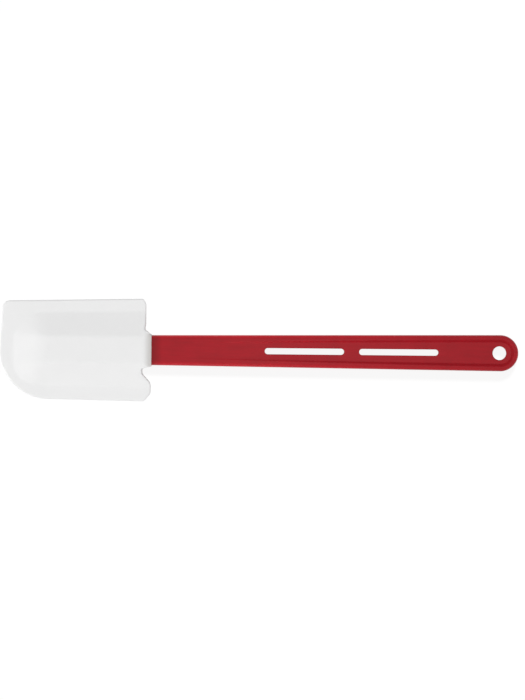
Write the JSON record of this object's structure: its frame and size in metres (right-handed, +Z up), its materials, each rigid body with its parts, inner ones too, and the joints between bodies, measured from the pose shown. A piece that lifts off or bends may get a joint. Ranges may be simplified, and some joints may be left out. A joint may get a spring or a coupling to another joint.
{
  "type": "silicone spatula",
  "caption": "Flat kitchen scraper with a soft white silicone blade, a square and a rounded front corner, a rim notch beside its collar, and a long slotted red handle with a hanging hole.",
  "frame": {"origin": "under the middle of the whole scraper, on the plane of the blade's lower crest face, on the handle's middle line", "axes": "+X along the handle from the blade's front edge to the hanging hole, +Y towards the blade's long edge that ends in the square front corner, +Z up out of the flat scraper"},
  "size_m": [0.355, 0.0708, 0.012],
  "materials": {
    "white_silicone": "soft matte moulded silicone, opaque white",
    "red_nylon": "satin moulded glass-filled nylon, deep red"
  },
  "bodies": {
    "handle": {"handle": "red_nylon"},
    "blade": {"blade": "white_silicone"}
  },
  "joints": [
    {"name": "blade_pull_off", "type": "slide", "parent": "handle", "child": "blade", "axis": [-1, 0, 0], "range_m": [0, 0.07]}
  ]
}
